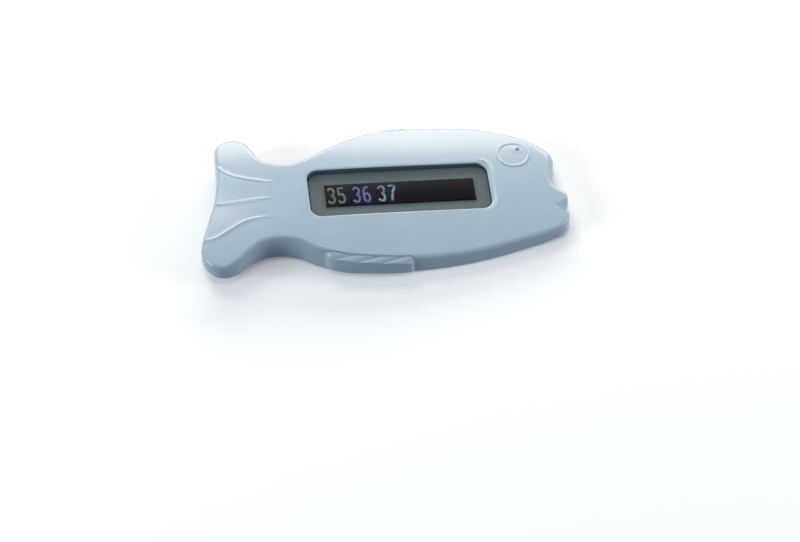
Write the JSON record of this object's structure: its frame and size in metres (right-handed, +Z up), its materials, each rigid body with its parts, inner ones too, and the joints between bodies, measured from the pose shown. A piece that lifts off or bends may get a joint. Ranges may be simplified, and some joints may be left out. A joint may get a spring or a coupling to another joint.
{
  "type": "bath thermometer",
  "caption": "Fish-shaped floating bath thermometer: hollow moulded body with side fins and a sunken window that holds a liquid crystal temperature strip.",
  "frame": {"origin": "middle of the fish's length and of its width over the side fins, on the surface that its belly rests on", "axes": "+X to the nose, +Y to the back of the fish, +Z up, out of the window"},
  "size_m": [0.15, 0.0731, 0.0163],
  "materials": {
    "body_plastic": "semi-gloss moulded, pale powder blue",
    "grey_card": "matt grey sheet",
    "black_film": "satin black film"
  },
  "bodies": {
    "root": {"front_shell": "body_plastic", "back_cover": "body_plastic", "backing_card": "grey_card", "crystal_strip": "black_film"}
  },
  "joints": []
}
